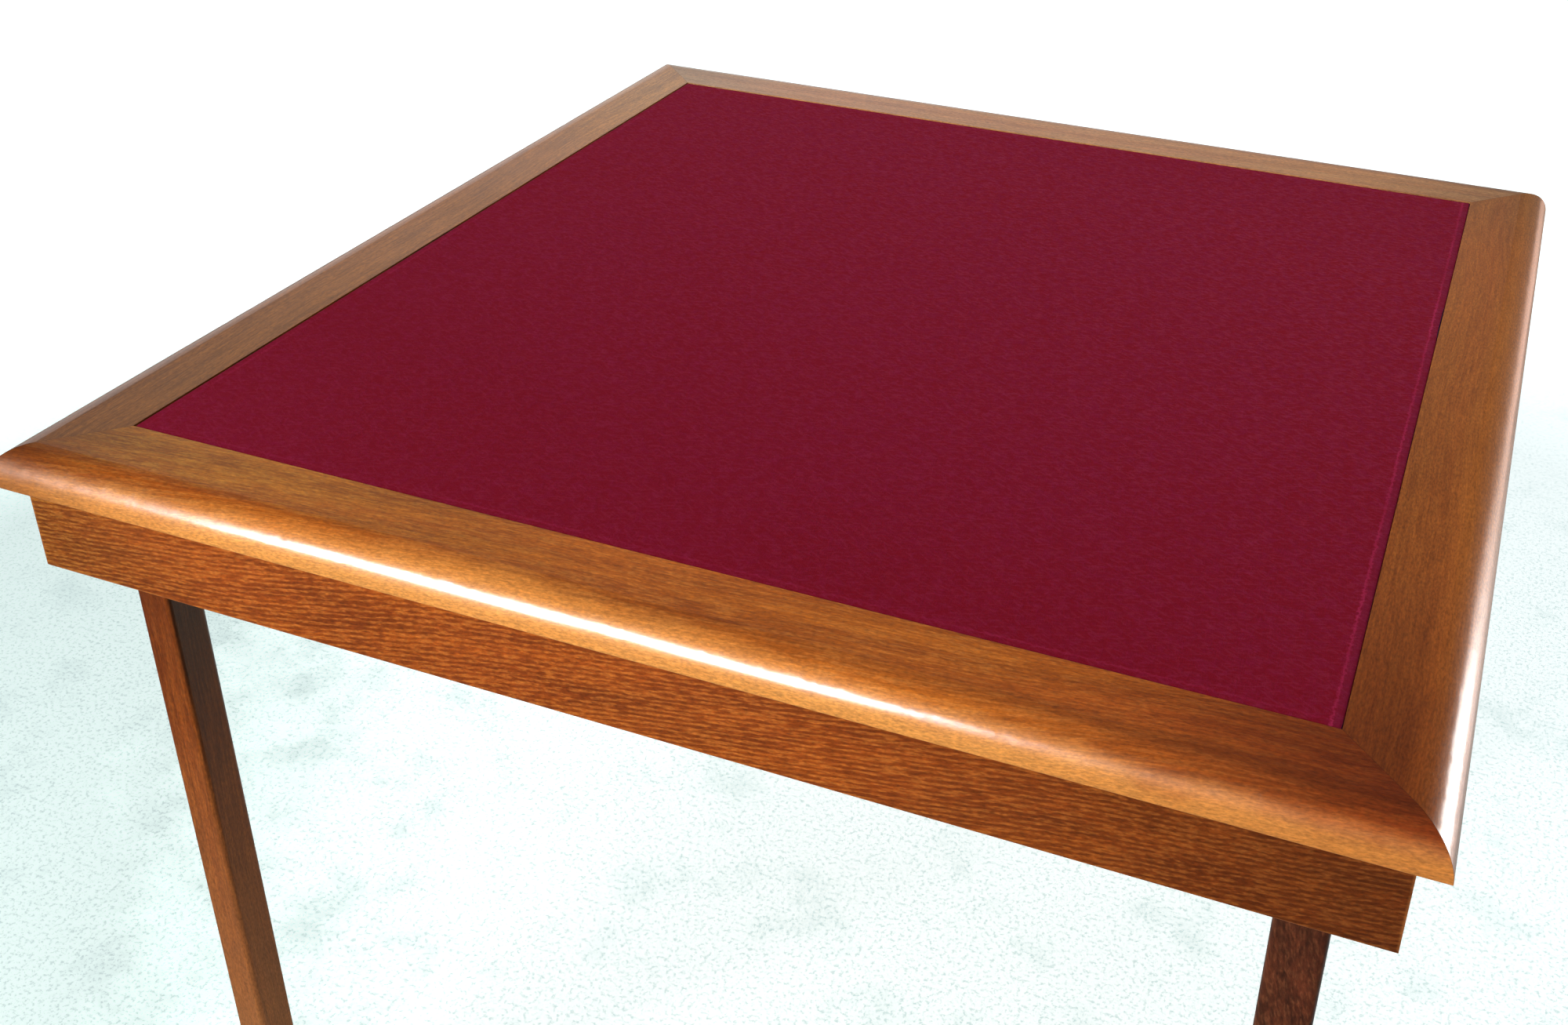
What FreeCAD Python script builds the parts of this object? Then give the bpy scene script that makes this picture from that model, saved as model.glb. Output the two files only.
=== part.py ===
import FreeCAD, Part
import math
import os

# Square folding card table: a mitred frame with a cloth-covered panel let into it, an apron below,
# and four legs that fold one after another round the apron, like the sails of a pinwheel.
# Millimetres. The origin is on the floor under the middle of the table, +Z is up, -Y is the front.

Vector = FreeCAD.Vector
os.makedirs("parts", exist_ok=True)

# Whole table
top_width = 859.0
table_height = 700.0

# Frame rails
rail_width = 61.5
rail_thickness = 23.0
thumb_width = 23.0
thumb_height = 23.0
under_round = 1.0
rebate_depth = 9.6
lip_width = 10.0
spline_thickness = 4.0
spline_length = 34.0
spline_width = 24.0
spline_rise = 4.5
spline_clearance = 0.1
panel_screw_end_inset = 80.0
panel_screw_near = 67.5

# Panel and cloth
panel_thickness = 8.0
panel_gap = 0.3
panel_corner = 1.5
cloth_thickness = 1.2

# Battens under the panel
batten_width = 36.0
batten_depth = 24.0
batten_offset = 135.0
batten_round = 2.0
batten_clearance = 0.3
batten_end_inset = 18.0
batten_screw_pitch = 240.0

# Apron
apron_set_back = 15.5
apron_thickness = 20.0
apron_height = 64.0
apron_round = 1.0
dowel_diameter = 6.0
dowel_length = 16.0
dowel_inset = 16.0
dowel_clearance = 0.1
counterbore_diameter = 10.0
counterbore_depth = 34.0
apron_screw_pitch = 260.0
glue_block_size = 15.0
glue_block_length = 50.0
glue_block_offset = 190.0

# Legs
leg_thickness = 25.0
leg_width = 30.0
leg_round = 3.5
foot_round = 1.5
leg_clearance = 12.0
pivot_drop = 60.0

# Foot glides
glide_diameter = 20.0
glide_thickness = 5.0
glide_round = 1.5
glide_screw_sink = 1.2

# Pivot
bolt_diameter = 8.0
bolt_head_diameter = 14.0
bolt_head_height = 2.0
bolt_end_spare = 2.0
bolt_chamfer = 0.8
bush_wall = 1.5
running_clearance = 0.05
side_play = 0.3
plate_width = 40.0
plate_height = 46.0
plate_thickness = 2.5
plate_corner = 5.0
plate_screw_inset = 6.5
spacer_diameter = 16.0
washer_diameter = 20.0
washer_thickness = 1.6
nut_sides = 6
nut_width = 13.0
nut_height = 8.0
nut_collar_height = 2.0
nut_collar_diameter = 11.5

# Leaf catch beside each leg
catch_thickness = 1.2
catch_width = 12.5
catch_bend = 6.0
catch_reach = 18.0
catch_tip_length = 16.0
catch_ramp_length = 34.0
catch_foot_length = 44.0
catch_gap = 0.3
catch_leg_gap = 0.8
catch_corner = 2.5
catch_screw_inset = 10.0
catch_screw_pitch = 20.0

# Stop block behind each leg
stop_height = 16.0
stop_width = 26.0
stop_gap = 0.3
stop_inset = 2.0
stop_round = 1.5
stop_screw_pitch = 12.0

# Screws: length, shank, head and head height of each kind
hardware_screw = {"length": 14.0, "shank": 3.4, "head": 6.8, "head_height": 2.0}
panel_screw = {"length": 18.0, "shank": 3.2, "head": 6.4, "head_height": 2.0}
batten_end_screw = {"length": 22.0, "shank": 4.0, "head": 8.0, "head_height": 2.4}
batten_panel_screw = {"length": 30.0, "shank": 4.0, "head": 8.0, "head_height": 2.4}
apron_screw = {"length": 42.0, "shank": 4.0, "head": 8.0, "head_height": 2.4}
glide_screw = {"length": 22.0, "shank": 3.4, "head": 6.8, "head_height": 2.0}
stop_screw = {"length": 24.0, "shank": 3.4, "head": 6.8, "head_height": 2.0}
screw_clearance = 0.05
recess_span_share = 0.62
recess_width_share = 0.16
recess_depth_share = 0.8
tip_share = 0.9

# Edges whose direction fits an axis at least this closely run along it
parallel_share = 0.999

# Cutting tools run this far past what they cut
overrun = 1.0

# Places worked out from the sizes above
half_top = top_width / 2
half_opening = half_top - rail_width
half_lip = half_opening - lip_width
rail_bottom = table_height - rail_thickness
rebate_level = table_height - rebate_depth
half_apron = half_top - apron_set_back
apron_inner = half_apron - apron_thickness
apron_bottom = rail_bottom - apron_height
pivot_level = table_height - pivot_drop
leg_outer = apron_inner - leg_clearance
leg_inner_x = leg_outer - leg_thickness
leg_inner_y = leg_outer - leg_width
pivot_x = -(leg_outer - leg_thickness / 2)
leg_centre_y = -(leg_outer - leg_width / 2)
batten_bottom = rebate_level - batten_depth
bolt_radius = bolt_diameter / 2
bush_radius = bolt_radius + bush_wall
plate_face = -apron_inner + plate_thickness
catch_top = pivot_level - leg_thickness / 2 - catch_leg_gap
stop_face = leg_outer + stop_gap
corners = ["front_left", "front_right", "back_right", "back_left"]
sides = ["front", "right", "back", "left"]


def block(low_x, high_x, low_y, high_y, low_z, high_z):
    # A plain box between two corners.
    return Part.makeBox(high_x - low_x, high_y - low_y, high_z - low_z, Vector(low_x, low_y, low_z))


def quarter(shape, turns):
    # The same piece, turned by quarter turns about the table's middle.
    turned = shape.copy()
    turned.rotate(Vector(0, 0, 0), Vector(0, 0, 1), 90 * turns)
    return turned


def place(shape, position, direction):
    # A piece made along +Z, laid along a direction at a position.
    placed = shape.copy()
    placed.Placement = FreeCAD.Placement(position, FreeCAD.Rotation(Vector(0, 0, 1), direction))
    return placed


def save(name, shape):
    shape.exportStep("parts/" + name + ".step")
    print(name, len(shape.Solids), "solids", "valid" if shape.isValid() else "NOT VALID")


def edges_along(shape, axis):
    # The straight edges of a shape that run along X, Y or Z.
    found = []
    for edge in shape.Edges:
        ends = [vertex.Point for vertex in edge.Vertexes]
        if len(ends) == 2 and isinstance(edge.Curve, Part.Line):
            run = ends[1] - ends[0]
            if abs(run.normalize().dot(axis)) > parallel_share:
                found.append(edge)
    return found


def turned_solid(outline):
    # A solid of revolution about Z from points of radius and height.
    points = [Vector(radius, 0, height) for radius, height in outline]
    wire = Part.makePolygon(points + [points[0]])
    return Part.Face(wire).revolve(Vector(0, 0, 0), Vector(0, 0, 1), 360)


def tube(outer_radius, inner_radius, height):
    return turned_solid([(inner_radius, 0), (outer_radius, 0), (outer_radius, height), (inner_radius, height)])


def screw(kind):
    # Countersunk screw along +Z, its head's flat at zero, with a cross recess. Threads are left plain.
    head_radius = kind["head"] / 2
    shank_radius = kind["shank"] / 2
    body = turned_solid([
        (0, 0),
        (head_radius, 0),
        (shank_radius, kind["head_height"]),
        (shank_radius, kind["length"] * tip_share),
        (0, kind["length"]),
    ])
    span = kind["head"] * recess_span_share / 2
    width = kind["head"] * recess_width_share / 2
    depth = kind["head_height"] * recess_depth_share
    recess = block(-span, span, -width, width, -overrun, depth)
    recess = recess.fuse(block(-width, width, -span, span, -overrun, depth))
    return body.cut(recess)


def screw_hole(kind, mouth=overrun):
    # The hole for that screw, open at its head for the length of the mouth.
    head_radius = kind["head"] / 2 + screw_clearance
    shank_radius = kind["shank"] / 2 + screw_clearance
    return turned_solid([
        (0, -mouth),
        (head_radius, -mouth),
        (head_radius, 0),
        (shank_radius, kind["head_height"]),
        (shank_radius, kind["length"] + screw_clearance),
        (0, kind["length"] + screw_clearance),
    ])


def screws_at(kind, places, direction):
    return [place(screw(kind), position, direction) for position in places]


def holes_at(kind, places, direction, mouth=overrun):
    return [place(screw_hole(kind, mouth), position, direction) for position in places]


def around(shapes):
    # Copies of the front-left pieces for all four corners or sides.
    return [quarter(shape, turns) for turns in range(4) for shape in shapes]


def side_wedge():
    # The quarter of the plan that belongs to the front side, between its two mitres.
    points = [Vector(-half_top, -half_top, 0), Vector(half_top, -half_top, 0), Vector(0, 0, 0)]
    wire = Part.makePolygon(points + [points[0]])
    return Part.Face(wire).extrude(Vector(0, 0, table_height + overrun))


def rail_outline():
    # Section of the front rail: flat top, thumb moulding, rounded under-edge, rebate for the panel.
    straight = rail_thickness - under_round
    sweep = math.acos(1 - straight / thumb_height)
    reach = thumb_width / math.sin(sweep)

    def point(inward, down):
        return Vector(-half_top, -half_top + inward, table_height - down)

    thumb = Part.BezierCurve()
    thumb.setPoles([
        point(thumb_width, 0),
        point(thumb_width - reach * math.tan(sweep / 2), 0),
        point(0, straight),
    ])
    thumb.setWeight(2, math.cos(sweep / 2))
    ease = under_round * math.sqrt(0.5)
    under = Part.Arc(
        point(0, straight),
        point(under_round - ease, straight + ease),
        point(under_round, rail_thickness),
    )
    corners_inside = [
        point(under_round, rail_thickness),
        point(rail_width + lip_width, rail_thickness),
        point(rail_width + lip_width, rebate_depth),
        point(rail_width, rebate_depth),
        point(rail_width, 0),
        point(thumb_width, 0),
    ]
    flats = Part.makePolygon(corners_inside)
    return Part.Wire([thumb.toShape(), under.toShape()] + flats.Edges)


def spline(clearance=0.0):
    # Loose tongue that bridges the front-left mitre, inside the thickness of the rails.
    width = spline_width / 2 + clearance
    length = spline_length / 2 + clearance
    low = rail_bottom + spline_rise - clearance
    high = rail_bottom + spline_rise + spline_thickness + clearance
    tongue = block(-length, length, -width, width, low, high)
    tongue.rotate(Vector(0, 0, 0), Vector(0, 0, 1), 45)
    middle = half_top - rail_width / 2
    tongue.translate(Vector(-middle, -middle, 0))
    return tongue


def dowels(clearance=0.0):
    # Two dowels across the front-left mitre of the apron.
    middle = half_apron - apron_thickness / 2
    across = Vector(1, -1, 0).normalize()
    length = dowel_length + 2 * clearance
    found = []
    for level in (apron_bottom + dowel_inset, rail_bottom - dowel_inset):
        start = Vector(-middle, -middle, level) - across * (length / 2)
        found.append(Part.makeCylinder(dowel_diameter / 2 + clearance / 2, length, start, across))
    return found


def panel_screw_places():
    # Along the front rail's lip, between and outside the battens.
    inward = -(half_opening - lip_width / 2)
    far = half_opening - panel_screw_end_inset
    return [Vector(x, inward, rail_bottom) for x in (-far, -panel_screw_near, panel_screw_near, far)]


def apron_screw_places():
    level = apron_bottom + counterbore_depth
    across = -(half_apron - apron_thickness / 2)
    return [Vector(step * apron_screw_pitch, across, level) for step in (-1, 0, 1)]


def batten_places(side):
    return side * batten_offset


def batten_end_places(side):
    reach = apron_inner - batten_end_inset
    return [Vector(batten_places(side), y, batten_bottom) for y in (-reach, reach)]


def batten_panel_places(side):
    steps = (-1, 0, 1)
    return [Vector(batten_places(side), step * batten_screw_pitch, batten_bottom) for step in steps]


def front_rail():
    body = Part.Face(rail_outline()).extrude(Vector(top_width, 0, 0)).common(side_wedge())
    holes = [spline(spline_clearance), quarter(spline(spline_clearance), 1)]
    holes += holes_at(panel_screw, panel_screw_places(), Vector(0, 0, 1))
    holes += holes_at(apron_screw, apron_screw_places(), Vector(0, 0, 1))
    return body.cut(holes)


def rail(turns):
    body = quarter(front_rail(), turns)
    holes = []
    for side in (-1, 1):
        holes += holes_at(batten_end_screw, batten_end_places(side), Vector(0, 0, 1))
    return body.cut(holes)


def panel():
    half = half_opening - panel_gap - cloth_thickness
    board = block(-half, half, -half, half, rebate_level, rebate_level + panel_thickness)
    upper = [edge for edge in board.Edges if edge.BoundBox.ZMin > rebate_level + panel_thickness / 2]
    return board.makeFillet(panel_corner, upper)


def drilled_panel():
    holes = around(holes_at(panel_screw, panel_screw_places(), Vector(0, 0, 1)))
    for side in (-1, 1):
        holes += holes_at(batten_panel_screw, batten_panel_places(side), Vector(0, 0, 1))
    return panel().cut(holes)


def baize():
    # Cloth laid over the panel and turned down its edges.
    half = half_opening - panel_gap
    top = rebate_level + panel_thickness + cloth_thickness
    sheet = block(-half, half, -half, half, rebate_level, top)
    upper = [edge for edge in sheet.Edges if edge.BoundBox.ZMin > top - cloth_thickness]
    upright = edges_along(sheet, Vector(0, 0, 1))
    return sheet.makeFillet(panel_corner + cloth_thickness, upper + upright).cut(panel())


def batten(side):
    # Full depth under the panel, stepped at its ends to run under the rails.
    middle = batten_places(side)
    half = batten_width / 2
    inner = half_lip - batten_clearance
    outer = apron_inner - batten_clearance
    deep = block(middle - half, middle + half, -inner, inner, batten_bottom, rebate_level)
    tongue = block(middle - half, middle + half, -outer, outer, batten_bottom, rail_bottom)
    body = deep.fuse(tongue).removeSplitter()
    lower = [edge for edge in edges_along(body, Vector(0, 1, 0)) if edge.BoundBox.ZMax < batten_bottom + overrun]
    body = body.makeFillet(batten_round, lower)
    holes = holes_at(batten_end_screw, batten_end_places(side), Vector(0, 0, 1))
    holes += holes_at(batten_panel_screw, batten_panel_places(side), Vector(0, 0, 1))
    return body.cut(holes)


def batten_screws():
    found = []
    for side in (-1, 1):
        found += screws_at(batten_end_screw, batten_end_places(side), Vector(0, 0, 1))
        found += screws_at(batten_panel_screw, batten_panel_places(side), Vector(0, 0, 1))
    return found


def plate_screw_places():
    found = []
    for across in (-1, 1):
        for up in (-1, 1):
            x = pivot_x + across * (plate_width / 2 - plate_screw_inset)
            z = pivot_level + up * (plate_height / 2 - plate_screw_inset)
            found.append(Vector(x, plate_face, z))
    return found


def catch_start():
    return -leg_inner_x + catch_gap


def catch_middle():
    return catch_top - catch_width / 2


def catch_screw_places():
    end = catch_start() + catch_tip_length + catch_ramp_length + catch_foot_length
    face = -apron_inner + catch_thickness
    return [Vector(end - catch_screw_inset - step * catch_screw_pitch, face, catch_middle()) for step in (0, 1)]


def stop_middle():
    return apron_bottom + stop_inset + stop_height / 2


def stop_screw_places():
    steps = (-0.5, 0.5)
    return [Vector(-stop_face, leg_centre_y + step * stop_screw_pitch, stop_middle()) for step in steps]


def apron_side():
    # Front apron: mitred ends, pocketed screws, seats for one corner's pivot and the next one's stop.
    body = block(-half_apron, half_apron, -half_apron, -apron_inner, apron_bottom, rail_bottom)
    lower = [edge for edge in edges_along(body, Vector(1, 0, 0)) if edge.BoundBox.ZMax < apron_bottom + overrun]
    body = body.makeFillet(apron_round, lower).common(side_wedge())
    holes = dowels(dowel_clearance) + [quarter(hole, 1) for hole in dowels(dowel_clearance)]
    holes += holes_at(apron_screw, apron_screw_places(), Vector(0, 0, 1))
    for position in apron_screw_places():
        start = Vector(position.x, position.y, apron_bottom - overrun)
        holes.append(Part.makeCylinder(counterbore_diameter / 2, counterbore_depth + overrun, start))
    holes += holes_at(hardware_screw, plate_screw_places(), Vector(0, -1, 0))
    holes += holes_at(hardware_screw, catch_screw_places(), Vector(0, -1, 0))
    seat_start = Vector(pivot_x, -apron_inner - bolt_head_height, pivot_level)
    seat_radius = bolt_head_diameter / 2 + screw_clearance
    holes.append(Part.makeCylinder(seat_radius, bolt_head_height + overrun, seat_start, Vector(0, 1, 0)))
    holes += [quarter(hole, 1) for hole in holes_at(stop_screw, stop_screw_places(), Vector(-1, 0, 0))]
    return body.cut(holes)


def glue_blocks():
    # Three-cornered blocks that stiffen the joint of the front apron and rail.
    found = []
    for side in (-1, 1):
        middle = side * glue_block_offset
        points = [
            Vector(middle - glue_block_length / 2, -apron_inner, rail_bottom),
            Vector(middle - glue_block_length / 2, -apron_inner + glue_block_size, rail_bottom),
            Vector(middle - glue_block_length / 2, -apron_inner, rail_bottom - glue_block_size),
        ]
        wire = Part.makePolygon(points + [points[0]])
        found.append(Part.Face(wire).extrude(Vector(glue_block_length, 0, 0)))
    return found


def leg():
    # Front-left leg, upright: full round over the pivot, eased edges, square foot.
    body = block(-leg_outer, -leg_inner_x, -leg_outer, -leg_inner_y, glide_thickness, pivot_level + leg_thickness)
    body = body.makeFillet(leg_round, edges_along(body, Vector(0, 0, 1)))
    foot_edges = [edge for edge in body.Edges if edge.BoundBox.ZMax < glide_thickness + overrun]
    body = body.makeChamfer(foot_round, foot_edges)
    half = leg_thickness / 2
    rounded = block(pivot_x - half, pivot_x + half, -leg_outer, -leg_inner_y, 0, pivot_level)
    crown_start = Vector(pivot_x, -leg_outer, pivot_level)
    rounded = rounded.fuse(Part.makeCylinder(half, leg_width, crown_start, Vector(0, 1, 0)))
    body = body.common(rounded.removeSplitter())
    bore_start = Vector(pivot_x, -leg_outer - overrun, pivot_level)
    bore = Part.makeCylinder(bush_radius + running_clearance, leg_width + 2 * overrun, bore_start, Vector(0, 1, 0))
    foot = Vector(pivot_x, leg_centre_y, glide_screw_sink)
    return body.cut([bore] + holes_at(glide_screw, [foot], Vector(0, 0, 1)))


def leg_bush():
    ring = tube(bush_radius, bolt_radius + running_clearance, leg_width)
    return place(ring, Vector(pivot_x, -leg_outer, pivot_level), Vector(0, 1, 0))


def glide():
    body = Part.makeCylinder(glide_diameter / 2, glide_thickness, Vector(pivot_x, leg_centre_y, 0))
    rim = [edge for edge in body.Edges if edge.BoundBox.ZMax < glide_thickness / 2]
    body = body.makeFillet(glide_round, rim)
    foot = Vector(pivot_x, leg_centre_y, glide_screw_sink)
    return body.cut(holes_at(glide_screw, [foot], Vector(0, 0, 1), glide_screw_sink + overrun))


def foot_screw():
    return place(screw(glide_screw), Vector(pivot_x, leg_centre_y, glide_screw_sink), Vector(0, 0, 1))


def pivot_plate():
    half_width = plate_width / 2
    half_height = plate_height / 2
    body = block(
        pivot_x - half_width, pivot_x + half_width, -apron_inner, plate_face,
        pivot_level - half_height, pivot_level + half_height,
    )
    body = body.makeFillet(plate_corner, edges_along(body, Vector(0, 1, 0)))
    start = Vector(pivot_x, -apron_inner - overrun, pivot_level)
    hole_radius = bolt_radius + running_clearance
    hole = Part.makeCylinder(hole_radius, plate_thickness + 2 * overrun, start, Vector(0, 1, 0))
    return body.cut([hole] + holes_at(hardware_screw, plate_screw_places(), Vector(0, -1, 0)))


def washer_start():
    return -leg_inner_y + side_play


def nut_start():
    return washer_start() + washer_thickness


def pivot_bolt():
    # Flat-headed bolt, its head let into the apron behind the plate.
    tip = nut_start() + nut_height + bolt_end_spare + apron_inner
    body = turned_solid([
        (0, -bolt_head_height),
        (bolt_head_diameter / 2, -bolt_head_height),
        (bolt_head_diameter / 2, 0),
        (bolt_radius, 0),
        (bolt_radius, tip - bolt_chamfer),
        (bolt_radius - bolt_chamfer, tip),
        (0, tip),
    ])
    return place(body, Vector(pivot_x, -apron_inner, pivot_level), Vector(0, 1, 0))


def pivot_spacer():
    length = -leg_outer - side_play - plate_face
    ring = tube(spacer_diameter / 2, bolt_radius + running_clearance, length)
    return place(ring, Vector(pivot_x, plate_face, pivot_level), Vector(0, 1, 0))


def pivot_washer():
    ring = tube(washer_diameter / 2, bolt_radius + running_clearance, washer_thickness)
    return place(ring, Vector(pivot_x, washer_start(), pivot_level), Vector(0, 1, 0))


def pivot_nut():
    # Self-locking nut: a hexagon with its rounded collar.
    half_turn = math.pi / nut_sides
    radius = nut_width / 2 / math.cos(half_turn)
    points = []
    for step in range(nut_sides):
        angle = 2 * half_turn * step
        points.append(Vector(radius * math.cos(angle), radius * math.sin(angle), 0))
    wire = Part.makePolygon(points + [points[0]])
    hexagon = Part.Face(wire).extrude(Vector(0, 0, nut_height - nut_collar_height))
    body = hexagon.fuse(Part.makeCylinder(nut_collar_diameter / 2, nut_height)).removeSplitter()
    hole_start = Vector(0, 0, -overrun)
    body = body.cut(Part.makeCylinder(bolt_radius + running_clearance, nut_height + 2 * overrun, hole_start))
    return place(body, Vector(pivot_x, nut_start(), pivot_level), Vector(0, 1, 0))


def bent_strip(points, thickness, bend):
    # Plan outline of a strip that follows the points, with a round bend at each inner one.
    runs = [(after - before).normalize() for before, after in zip(points, points[1:])]
    lefts = [Vector(-run.y, run.x, 0) for run in runs]
    edges = []
    ends = []
    for side in (-1, 1):
        offset = side * thickness / 2
        last = points[0] + lefts[0] * offset
        ends.append(last)
        for index in range(1, len(points) - 1):
            turn = runs[index - 1].getAngle(runs[index])
            sign = 1 if runs[index - 1].cross(runs[index]).z > 0 else -1
            set_back = bend * math.tan(turn / 2)
            centre = points[index] - runs[index - 1] * set_back + lefts[index - 1] * (sign * bend)
            start = points[index] - runs[index - 1] * set_back + lefts[index - 1] * offset
            finish = points[index] + runs[index] * set_back + lefts[index] * offset
            outward = (points[index] - centre).normalize()
            middle = centre + outward * (bend - sign * offset)
            edges.append(Part.LineSegment(last, start).toShape())
            edges.append(Part.Arc(start, middle, finish).toShape())
            last = finish
        finish = points[-1] + lefts[-1] * offset
        edges.append(Part.LineSegment(last, finish).toShape())
        ends.append(finish)
    edges.append(Part.LineSegment(ends[0], ends[2]).toShape())
    edges.append(Part.LineSegment(ends[1], ends[3]).toShape())
    return Part.Wire(Part.__sortEdges__(edges))


def leg_catch():
    # Spring steel leaf: screwed flat to the apron, its tip standing in the leg's way.
    near = -apron_inner + catch_thickness / 2
    far = -apron_inner + catch_reach
    level = catch_top - catch_width
    start = catch_start()
    ramp_start = start + catch_tip_length
    ramp_end = ramp_start + catch_ramp_length
    points = [
        Vector(start, far, level),
        Vector(ramp_start, far, level),
        Vector(ramp_end, near, level),
        Vector(ramp_end + catch_foot_length, near, level),
    ]
    body = Part.Face(bent_strip(points, catch_thickness, catch_bend)).extrude(Vector(0, 0, catch_width))
    free_end = [edge for edge in edges_along(body, Vector(0, 1, 0)) if edge.BoundBox.XMin > ramp_end]
    body = body.makeFillet(catch_corner, free_end)
    return body.cut(holes_at(hardware_screw, catch_screw_places(), Vector(0, -1, 0)))


def stop_block():
    # Hardwood block on the left apron that the open leg bears against.
    half = stop_width / 2
    low = apron_bottom + stop_inset
    body = block(
        -apron_inner, -stop_face, leg_centre_y - half, leg_centre_y + half,
        low, low + stop_height,
    )
    face_edges = [edge for edge in body.Edges if edge.BoundBox.XMin > -stop_face - stop_gap]
    body = body.makeFillet(stop_round, face_edges)
    return body.cut(holes_at(stop_screw, stop_screw_places(), Vector(-1, 0, 0)))


def save_group(name, shapes):
    save(name, Part.makeCompound(shapes))


# Top frame, panel and cloth
for turns, side in enumerate(sides):
    save(side + "_rail", rail(turns))
save_group("mitre_splines", around([spline()]))
save("top_panel", drilled_panel())
save("baize", baize())
save_group("panel_screws", around(screws_at(panel_screw, panel_screw_places(), Vector(0, 0, 1))))

# Battens
save("left_batten", batten(-1))
save("right_batten", batten(1))
save_group("batten_screws", batten_screws())

# Apron
front_apron = apron_side()
for turns, side in enumerate(sides):
    save(side + "_apron", quarter(front_apron, turns))
save_group("apron_dowels", around(dowels()))
save_group("apron_screws", around(screws_at(apron_screw, apron_screw_places(), Vector(0, 0, 1))))
save_group("glue_blocks", around(glue_blocks()))

# Legs and what turns with them, then the pivot, catch and stop of each corner
corner_pieces = {
    "leg": leg(),
    "leg_bush": leg_bush(),
    "glide": glide(),
    "glide_screw": foot_screw(),
    "pivot_plate": pivot_plate(),
    "pivot_bolt": pivot_bolt(),
    "leg_catch": leg_catch(),
    "stop_block": stop_block(),
}
for turns, corner in enumerate(corners):
    for name, shape in corner_pieces.items():
        save(corner + "_" + name, quarter(shape, turns))

# Small pieces that are the same at every corner
save_group("pivot_spacers", around([pivot_spacer()]))
save_group("pivot_washers", around([pivot_washer()]))
save_group("pivot_nuts", around([pivot_nut()]))
save_group("plate_screws", around(screws_at(hardware_screw, plate_screw_places(), Vector(0, -1, 0))))
save_group("catch_screws", around(screws_at(hardware_screw, catch_screw_places(), Vector(0, -1, 0))))
save_group("stop_screws", around(screws_at(stop_screw, stop_screw_places(), Vector(-1, 0, 0))))
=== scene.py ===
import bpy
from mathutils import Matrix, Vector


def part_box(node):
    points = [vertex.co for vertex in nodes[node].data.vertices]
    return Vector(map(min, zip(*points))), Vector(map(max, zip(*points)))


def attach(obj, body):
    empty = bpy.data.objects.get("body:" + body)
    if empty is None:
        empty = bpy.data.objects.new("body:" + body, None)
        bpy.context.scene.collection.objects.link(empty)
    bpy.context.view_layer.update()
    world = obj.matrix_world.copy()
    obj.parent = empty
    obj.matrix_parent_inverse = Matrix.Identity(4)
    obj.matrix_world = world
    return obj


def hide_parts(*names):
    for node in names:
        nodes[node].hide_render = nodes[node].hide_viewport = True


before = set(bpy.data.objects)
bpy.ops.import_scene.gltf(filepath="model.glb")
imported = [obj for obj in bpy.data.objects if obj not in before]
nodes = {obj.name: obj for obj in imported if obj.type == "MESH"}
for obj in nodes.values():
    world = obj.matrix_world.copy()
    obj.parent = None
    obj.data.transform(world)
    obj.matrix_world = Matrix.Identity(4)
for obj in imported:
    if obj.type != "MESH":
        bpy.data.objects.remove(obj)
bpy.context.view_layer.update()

import math

import bmesh
import bpy
from mathutils import Matrix, Vector, noise

scene = bpy.context.scene
sideNames = ["front", "right", "back", "left"]
cornerNames = ["front_left", "front_right", "back_right", "back_left"]
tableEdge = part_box("right_rail")[1].x
mouldingWidth = 0.023


# Camera, solved from the edges of the table top in the photograph
photoCamera = {
    "place": (0.3870, -1.0438, 1.2261),
    "turn": -0.3578,  # to the left of straight ahead, in radians
    "tilt": 0.5051,  # downwards
    "roll": 0.0275,
    "focalPixels": 2152.6,
    "middlePixels": (1144.7, 515.4),
    "imagePixels": (2000, 1307),
    "sensor": 36.0,
}


def addCamera(values):
    turn, tilt, roll = values["turn"], values["tilt"], values["roll"]
    ahead = Vector((math.sin(turn) * math.cos(tilt), math.cos(turn) * math.cos(tilt), -math.sin(tilt)))
    right = Vector((math.cos(turn), -math.sin(turn), 0))
    up = right.cross(ahead)
    rolledRight = right * math.cos(roll) + up * math.sin(roll)
    rolledUp = up * math.cos(roll) - right * math.sin(roll)
    wide, high = values["imagePixels"]
    data = bpy.data.cameras.new("photoCamera")
    data.sensor_width = values["sensor"]
    data.lens = values["focalPixels"] / wide * values["sensor"]
    data.shift_x = (wide / 2 - values["middlePixels"][0]) / wide
    data.shift_y = (values["middlePixels"][1] - high / 2) / wide
    camera = bpy.data.objects.new("photoCamera", data)
    facing = Matrix((rolledRight, rolledUp, -ahead)).transposed().to_4x4()
    camera.matrix_world = Matrix.Translation(values["place"]) @ facing
    scene.collection.objects.link(camera)
    scene.camera = camera


addCamera(photoCamera)
print("camera set")


# Small helpers for shader trees
def put(tree, kind, inputs=None, **options):
    made = tree.nodes.new(kind)
    for name, value in options.items():
        setattr(made, name, value)
    for name, value in (inputs or {}).items():
        socket = made.inputs[name]
        if isinstance(value, bpy.types.NodeSocket):
            tree.links.new(value, socket)
        else:
            socket.default_value = value
    return made


def doMath(tree, operation, first, second=0.0, clamp=False):
    return put(tree, "ShaderNodeMath", {0: first, 1: second}, operation=operation, use_clamp=clamp).outputs[0]


def times(tree, first, second, clamp=False):
    return doMath(tree, "MULTIPLY", first, second, clamp)


def plus(tree, first, second, clamp=False):
    return doMath(tree, "ADD", first, second, clamp)


def minus(tree, first, second, clamp=False):
    return doMath(tree, "SUBTRACT", first, second, clamp)


def onVectors(tree, operation, first, second=None):
    inputs = {0: first} if second is None else {0: first, 1: second}
    return put(tree, "ShaderNodeVectorMath", inputs, operation=operation).outputs[0]


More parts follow.
